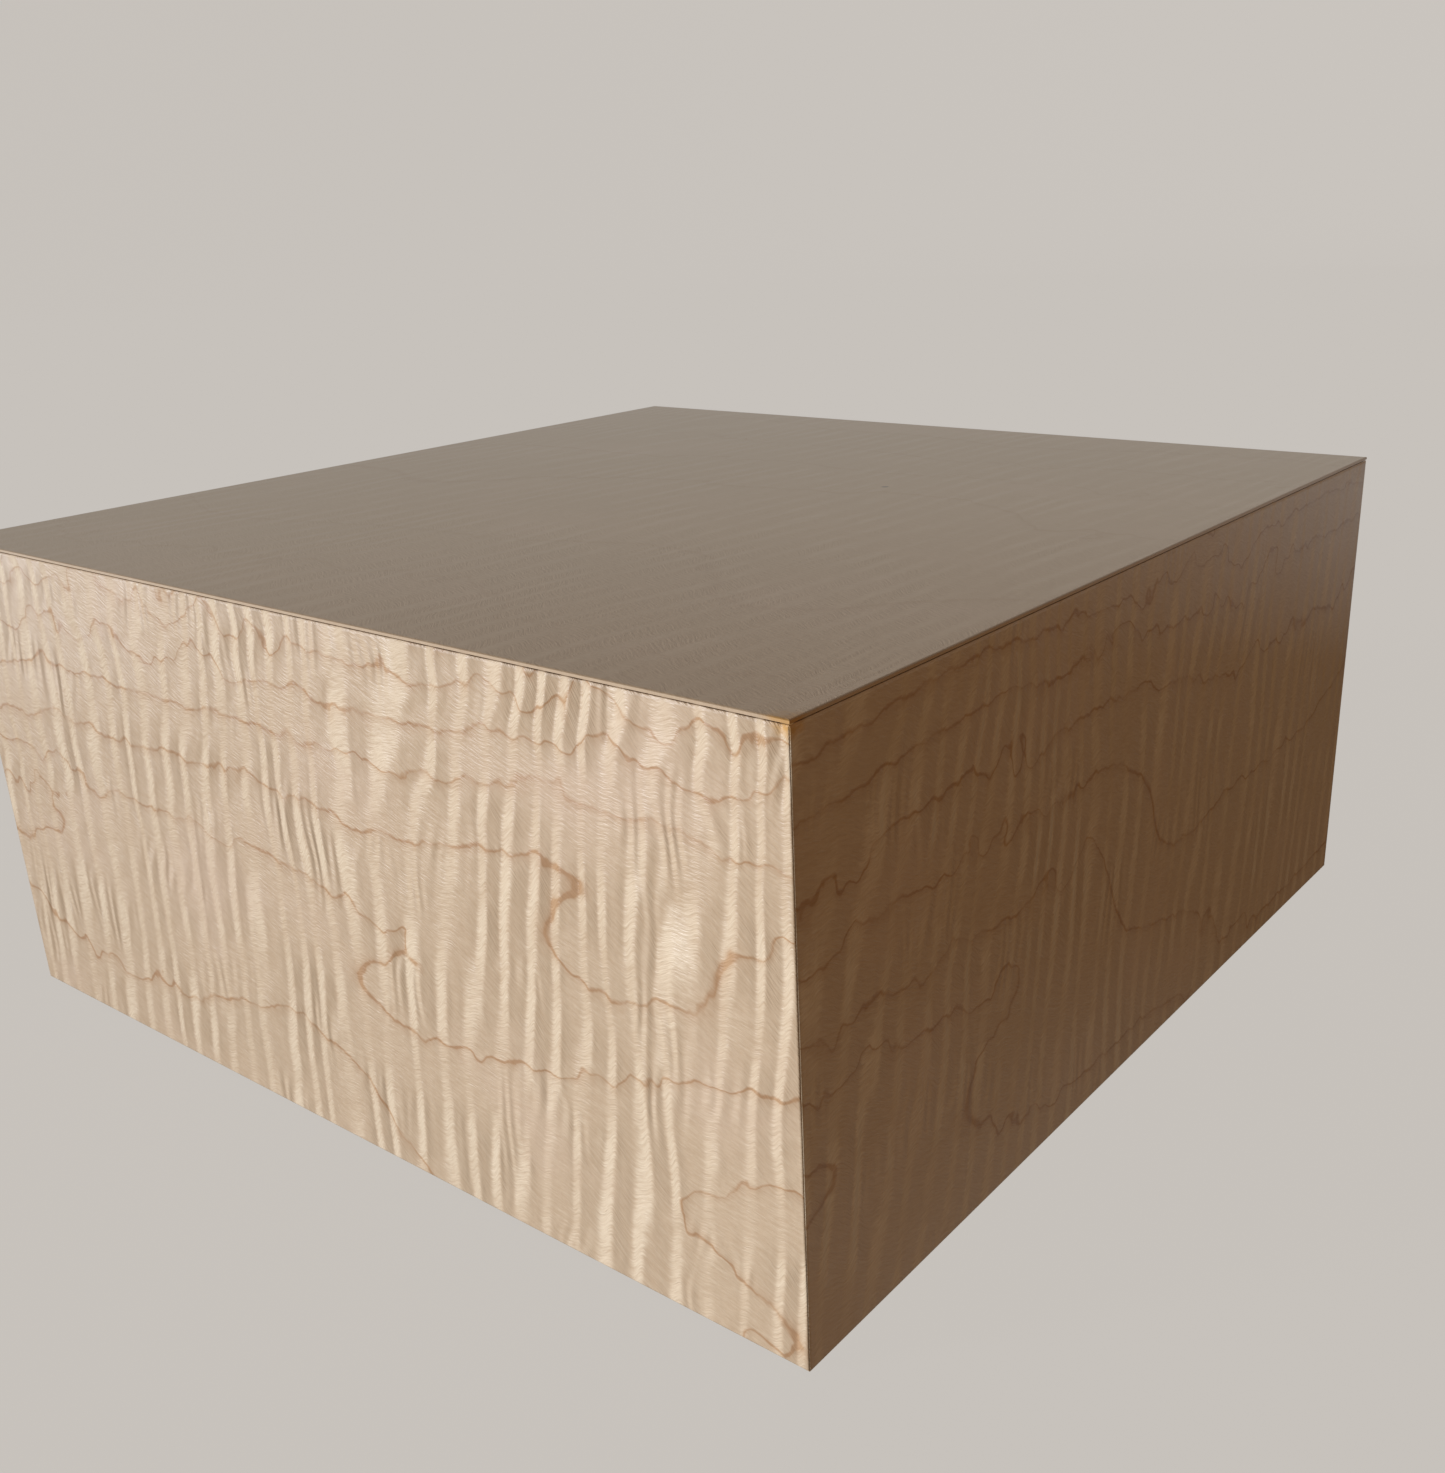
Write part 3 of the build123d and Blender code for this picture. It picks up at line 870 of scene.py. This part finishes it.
@dataclass
class Base:
    """The base veneer with the dial's round seat through it, and the dial's own disc, cut from one sheet."""

    rings: RingField
    seed: float = 53.0
    around: int = 192
    hoops: int = 30
    seam: float = 0.3

    def build(self, maple: bpy.types.Material) -> list[bpy.types.Object]:
        """Both sheets.

        Args:
            maple: the veneer's finish.

        Returns:
            The base sheet and the dial's disc.
        """
        pieces = [self._base(), self._disc()]
        for piece in pieces:
            piece.data.materials.append(maple)
        return pieces

    def _base(self) -> bpy.types.Object:
        """The base sheet: rings of points blend from the round seat to the square edge, which is mitred."""
        low, high = node_box("base_veneer")
        disc = node_box("dial_veneer")
        hole = (disc[1][0] - disc[0][0]) / 2 + self.seam
        half = high[0]
        thick = high[2] - low[2]
        across = (2 * half, 2 * half)
        sheet = VeneerSheet("base_sheet", "carcass", "base_veneer", self.rings, self.seed, across, drop=0.12)
        angle = (np.arange(self.around) + 0.5) * (2 * math.pi / self.around)
        start = self.around // 8 * 7
        square_angle = np.concatenate([angle[start:] - 2 * math.pi, angle[:start]])
        cos, sin = np.cos(square_angle), np.sin(square_angle)
        reach = 1.0 / np.maximum(np.abs(cos), np.abs(sin))
        outline = np.stack([cos * reach, sin * reach], -1)
        corner = (np.abs(np.abs(outline[:, 0]) - np.abs(outline[:, 1])) < 0.04)[:, None]
        outline = np.where(corner, np.sign(outline), outline)
        circle = np.stack([cos, sin], -1) * hole
        inside = np.linspace(0.0, 1.0, self.hoops) ** 1.2 * 0.994
        share = np.concatenate([inside, [0.9965, 1.0]])[:, None, None]

        def at(depths: np.ndarray) -> np.ndarray:
            """Ring points at the given depths, drawn in from the mitred edge."""
            edge_line = outline[None] * (half - depths)
            return circle[None] * (1.0 - share) + edge_line * share

        fall = np.where(share > 0.999, sheet.drop, 0.0) * np.ones((1, self.around, 1))
        flat_front, flat_back = at(fall), at(np.full_like(fall, thick))
        front = np.concatenate([flat_front, low[2] + fall], -1)
        back = np.concatenate([flat_back, np.full_like(fall, high[2])], -1)
        front = np.concatenate([front, front[:, :1]], 1)
        back = np.concatenate([back, back[:, :1]], 1)
        rows, columns = front.shape[:2]
        count = rows * (columns - 1)
        number = np.arange(rows * columns).reshape(rows, columns)
        number = number - np.arange(rows)[:, None]
        number[:, -1] = number[:, 0]
        corners = [number[:-1, :-1], number[1:, :-1], number[1:, 1:], number[:-1, 1:]]
        quads = np.stack(corners, -1).reshape(-1, 4)
        points = np.concatenate([front[:, :-1].reshape(-1, 3), back[:, :-1].reshape(-1, 3)])
        inner, outer = number[0], number[-1]
        walls = [
            np.stack([inner[:-1], inner[:-1] + count, inner[1:] + count, inner[1:]], -1),
            np.stack([outer[:-1], outer[1:], outer[1:] + count, outer[:-1] + count], -1),
        ]
        faces = np.concatenate([quads[:, ::-1], quads + count, *walls])
        piece = make_piece(sheet.name, points, faces)
        self._lay_out(piece, points, half)
        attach(piece, sheet.body)
        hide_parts(sheet.node)
        return piece

    def _disc(self) -> bpy.types.Object:
        """The dial's disc: a square grid drawn into a circle, x by root(1 - y squared / 2) and the reverse."""
        low, high = node_box("dial_veneer")
        radius = high[0]
        half = node_box("base_veneer")[1][0]
        across = (2 * half, 2 * half)
        sheet = VeneerSheet("dial_disc_veneer", "dial", "dial_veneer", self.rings, self.seed, across, drop=0.12)
        place = np.concatenate([[-1.0], np.linspace(-0.985, 0.985, 33), [1.0]])
        p, q = np.meshgrid(place, place)
        x = radius * p * np.sqrt(1 - q * q / 2)
        y = radius * q * np.sqrt(1 - p * p / 2)
        edge = radius - np.hypot(x, y)
        front = np.stack([x, y, low[2] + sheet.fall(edge)], -1)
        back = np.stack([x, y, np.full_like(x, high[2])], -1)
        front, back = front[:, ::-1], back[:, ::-1]
        lay = np.stack([front[..., 0] + half, front[..., 1] + half], -1)
        return sheet.close(front, back, lay, edge[:, ::-1])

    def _lay_out(self, piece: bpy.types.Object, points: np.ndarray, half: float) -> None:
        """Gives the base sheet its lay, growth and edge attributes."""
        along, up = points[:, 0] + half, points[:, 1] + half
        set_attribute(piece, "lay", np.stack([along, up, np.full_like(along, self.seed)], -1))
        set_attribute(piece, "growth", self.rings.growth(along, up, (2 * half, 2 * half)))
        edge = half - np.maximum(np.abs(points[:, 0]), np.abs(points[:, 1]))
        set_attribute(piece, "edge", np.stack([edge, np.zeros_like(edge), np.zeros_like(edge)], -1))


@dataclass
class SpringCatch:
    """A spring screwed to a face: a leaf catch of the lid, or the lock spring with its bolt. It keeps the shape
    it was drawn with and hangs on the carcass.
    """

    side: Side
    node: str
    anchor_depth: float
    keep: float
    ease: float = 0.10

    def build(self, bronze: bpy.types.Material) -> bpy.types.Object:
        """The spring, with its sharp edges eased.

        Args:
            bronze: its finish.

        Returns:
            The spring.
        """
        piece = bpy.data.objects.new(f"bronze_{self.node}", frame["nodes"][self.node].data.copy())
        bpy.context.scene.collection.objects.link(piece)
        work = bmesh.new()
        work.from_mesh(piece.data)
        bmesh.ops.remove_doubles(work, verts=work.verts, dist=1e-6)
        bmesh.ops.dissolve_limit(work, angle_limit=math.radians(1.0), verts=work.verts, edges=work.edges)
        work.to_mesh(piece.data)
        work.free()
        piece.data.materials.clear()
        piece.data.materials.append(bronze)
        bevel = piece.modifiers.new("eased_edges", "BEVEL")
        bevel.width, bevel.segments, bevel.limit_method = self.ease * MM, 2, "ANGLE"
        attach(piece, "carcass")
        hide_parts(self.node)
        inwards = self.side.turn(np.array([0.0, 1.0, 0.0]))
        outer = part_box("front_panel_veneer")[0][1]
        anchor = self.side.turn(np.array([0.0, outer + self.anchor_depth * MM, 0.0]))
        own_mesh(piece)
        return piece


@dataclass
class BareWork:
    """The pieces that keep the shape they were drawn with: the wooden boards and metal fittings inside."""

    woods: Mapping[str, PlainWood]
    metals: Mapping[str, Metal]
    upright: tuple[str, ...] = ("corner_blocks", "lining_spacers")
    front_to_back: tuple[str, ...] = ("dial_arm",)

    def grain(self, node: str) -> Along:
        """Which way a board's grain runs: along its length."""
        if node in self.upright:
            return Along.Z
        sideways = node.startswith((Side.RIGHT.label, Side.LEFT.label)) or node in self.front_to_back
        return Along.Y if sideways else Along.X

    def dress(self) -> None:
        """Gives each shown CAD node the finish of its material slot."""
        made: dict[Any, bpy.types.Material] = {}
        for part in frame["record"]["subparts"]:
            node, name = part["node"], part["material_slot"]
            piece = frame["nodes"][node]
            if piece.hide_render:
                continue
            if name in self.woods:
                key = (name, self.grain(node))
                if key not in made:
                    made[key] = self.woods[name].make(key[1])
            else:
                key = name
                if key not in made:
                    made[key] = self.metals[name].make()
            piece.data.materials.clear()
            piece.data.materials.append(made[key])
            LOG.info("dressed %s in %s", node, made[key].name)


# ---- studio ---------------------------------------------------------------------------------------------


@dataclass(frozen=True)
class Studio:
    """A pale floor that curves up into a backdrop, one soft low lamp at the front left, and a dim room."""

    paper: Colour = (0.590, 0.557, 0.520)
    glow: float = 0.955
    lamp: Colour = (0.925, 0.94, 1.0)
    lamp_strength: float = 3.68
    lamp_from: tuple[float, float] = (-38.0, 6.5)
    lamp_width: float = 12.0
    reach: float = 5.0
    warm_side: Colour = (0.74, 0.325, 0.015)
    room: tuple[tuple[float, Colour], ...] = (
        (0.0, (0.170, 0.160, 0.145)),
        (0.19, (0.250, 0.255, 0.240)),
        (0.28, (0.080, 0.052, 0.028)),
        (0.36, (0.080, 0.052, 0.028)),
        (0.41, (0.400, 0.430, 0.440)),
        (0.47, (0.300, 0.300, 0.290)),
        (0.60, (0.420, 0.385, 0.335)),
        (0.72, (0.320, 0.272, 0.225)),
        (0.84, (0.130, 0.105, 0.080)),
        (1.0, (0.090, 0.075, 0.060)),
    )

    def build(self) -> None:
        """Floor, lamp and room."""
        self._floor()
        self._lamp()
        self._room()

    def _floor(self) -> None:
        """A bowl: flat to half its reach, then rising as three times the square of the distance past that.

        Only the camera sees it, so it neither lights nor mirrors in the box. A share of it takes the lamp's
        light, and from below it is clear.
        """
        radius, angle = np.meshgrid(np.linspace(0.0, self.reach, 60), np.linspace(0.0, 2 * math.pi, 97))
        past = np.maximum(radius - self.reach / 2, 0.0)
        points = np.stack([radius * np.cos(angle), radius * np.sin(angle), 3.0 * past**2 - 0.0004], -1)
        piece = make_piece("floor", points.reshape(-1, 3) / MM, grid_faces(97, 60), True)
        for seen_by in ("diffuse", "glossy", "transmission", "volume_scatter", "shadow"):
            setattr(piece, f"visible_{seen_by}", False)
        material = bpy.data.materials.new("paper")
        material.use_nodes = True
        mix = Nodes(material.node_tree)
        matt = mix.add("ShaderNodeBsdfDiffuse", sockets={"Color": self.paper}).outputs[0]
        light = mix.add("ShaderNodeEmission", sockets={"Color": self.paper}).outputs[0]
        lit = mix.add("ShaderNodeMixShader", sockets={0: self.glow, 1: matt, 2: light}).outputs[0]
        below = mix.add("ShaderNodeNewGeometry").outputs["Backfacing"]
        clear = mix.add("ShaderNodeBsdfTransparent").outputs[0]
        sided = mix.add("ShaderNodeMixShader", sockets={0: below, 1: lit, 2: clear}).outputs[0]
        mix.add("ShaderNodeOutputMaterial", sockets={"Surface": sided})
        piece.data.materials.append(material)
        piece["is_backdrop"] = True

    def _lamp(self) -> None:
        """The lamp, as far off as the sun and wide enough to give soft shadows."""
        data = bpy.data.lights.new("front_lamp", "SUN")
        data.color, data.energy, data.angle = self.lamp, self.lamp_strength, math.radians(self.lamp_width)
        side, height = (math.radians(part) for part in self.lamp_from)
        level_part = math.cos(height)
        towards = Vector((math.sin(side) * level_part, -math.cos(side) * level_part, math.sin(height)))
        lamp = bpy.data.objects.new("front_lamp", data)
        lamp.matrix_world = towards.to_track_quat("Z", "Y").to_matrix().to_4x4()
        bpy.context.scene.collection.objects.link(lamp)

    def _room(self) -> None:
        """The room's light: a ramp from straight down to straight up, warmer at the right and behind."""
        world = bpy.data.worlds.new("room")
        world.use_nodes = True
        mix = Nodes(world.node_tree)
        across, forth, height = mix.split(mix.add("ShaderNodeTexCoord").outputs["Generated"])
        ramp = mix.add("ShaderNodeValToRGB", {"stops": self.room}, {0: (height + 1.0) / 2.0}).outputs[0]
        warmth = across.rise(0.0, 1.0) * forth.rise(-0.9, 0.0)
        colour = mix.blend(warmth, ramp, self.warm_side, "MULTIPLY")
        light = mix.add("ShaderNodeBackground", sockets={"Color": colour})
        mix.add("ShaderNodeOutputWorld", sockets={"Surface": light.outputs[0]})
        bpy.context.scene.world = world


@dataclass(frozen=True)
class Viewpoint:
    """The camera: above the near corner at the front right, close to the box, turned and rolled a little.

    Its place is counted in box heights from the near bottom corner.
    """

    away: tuple[float, float, float] = (1.0822, -1.3958, 1.6038)
    azimuth: float = 38.531
    elevation: float = 20.945
    roll: float = -2.096
    lens: float = 37.5
    shift: tuple[float, float] = (-0.0339, 0.0271)

    def build(self, low: Vector, high: Vector) -> None:
        """Makes the camera and gives it to the scene.

        Args:
            low: the box's lowest corner.
            high: its highest corner.
        """
        near = Vector((high.x, low.y, low.z))
        place = near + Vector(self.away) * (high.z - low.z)
        turn, tilt, roll = (math.radians(part) for part in (self.azimuth, self.elevation, self.roll))
        level_part = math.cos(tilt)
        forward = Vector((-math.sin(turn) * level_part, math.cos(turn) * level_part, -math.sin(tilt)))
        level = forward.cross(Vector((0, 0, 1))).normalized()
        upright = level.cross(forward)
        right = math.cos(roll) * level + math.sin(roll) * upright
        top = math.cos(roll) * upright - math.sin(roll) * level
        matrix = Matrix((right, top, -forward)).transposed().to_4x4()
        matrix.translation = place
        data = bpy.data.cameras.new("viewpoint")
        data.lens, data.shift_x, data.shift_y = self.lens, *self.shift
        data.clip_start = 0.01
        camera = bpy.data.objects.new("viewpoint", data)
        camera.matrix_world = matrix
        bpy.context.scene.collection.objects.link(camera)
        bpy.context.scene.camera = camera


# ---- the box ----------------------------------------------------------------------------------------------


WOODS = {
    "core_wood": PlainWood("core_wood", (0.48, 0.32, 0.19), (0.26, 0.15, 0.08), 4.0, 0.55),
    "carcass_wood": PlainWood("carcass_wood", (0.66, 0.51, 0.34), (0.44, 0.30, 0.17), 5.5, 0.6),
    "lining_wood": PlainWood("lining_wood", (0.52, 0.33, 0.19), (0.30, 0.16, 0.08), 4.5, 0.38, 0.35),
    "hard_wood": PlainWood("hard_wood", (0.28, 0.135, 0.065), (0.13, 0.055, 0.028), 3.0, 0.40, 0.2),
}
METALS = {
    "brass": Metal("brass", (0.78, 0.56, 0.22), (0.42, 0.27, 0.10), 0.24),
    "steel": Metal("steel", (0.56, 0.57, 0.58), (0.32, 0.32, 0.33), 0.26),
    "magnet": Metal("magnet", (0.68, 0.67, 0.64), (0.45, 0.44, 0.42), 0.14),
}
LEAF_ANCHOR, LEAF_KEEP = 16.3, 0.5
LOCK_ANCHOR, LOCK_KEEP = 16.9, 0.76
BRONZE = Metal("spring_bronze", (0.66, 0.40, 0.20), (0.36, 0.20, 0.10), 0.28)


def main() -> None:
    """Builds the whole box round the frame, then the studio and the camera."""
    logging.basicConfig(level=logging.INFO, format="%(name)s: %(message)s")
    cad_low, cad_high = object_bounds()
    # the front right top corner, where the maple's painted amber highlight sits
    corner = (cad_high.x / MM, cad_low.y / MM, cad_high.z / MM)
    lively = CurlyMaple(corner=corner).make()
    calm = CurlyMaple("quiet_maple", figure=0.09, silk=0.52, specks=0.75, ring_depth=0.25, corner=corner).make()
    sides = (
        SidePanel(Side.FRONT, FRONT_RINGS, 1.0),
        SidePanel(Side.RIGHT, RIGHT_RINGS, 17.0),
        SidePanel(Side.BACK, FRONT_RINGS.turned_over(), 5.0),
        SidePanel(Side.LEFT, RIGHT_RINGS.turned_over(), 23.0),
    )
    for part in (*sides, Lid(LID_RINGS), Base(LID_RINGS)):
        made = part.build(calm if isinstance(part, Lid) else lively)
        for piece in made if isinstance(made, list) else [made]:
            LOG.info("built %s: %d faces", piece.name, len(piece.data.polygons))
    bronze = BRONZE.make()
    catches = [SpringCatch(side, f"{side.label}_leaf_catch", LEAF_ANCHOR, LEAF_KEEP) for side in Side]
    for catch in (*catches, SpringCatch(Side.FRONT, "lock_spring", LOCK_ANCHOR, LOCK_KEEP)):
        LOG.info("built %s", catch.build(bronze).name)
    BareWork(WOODS, METALS).dress()
    Studio().build()
    bpy.context.scene.view_settings.view_transform = "Standard"
    Viewpoint().build(cad_low, cad_high)


if __name__ == "__main__":
    main()
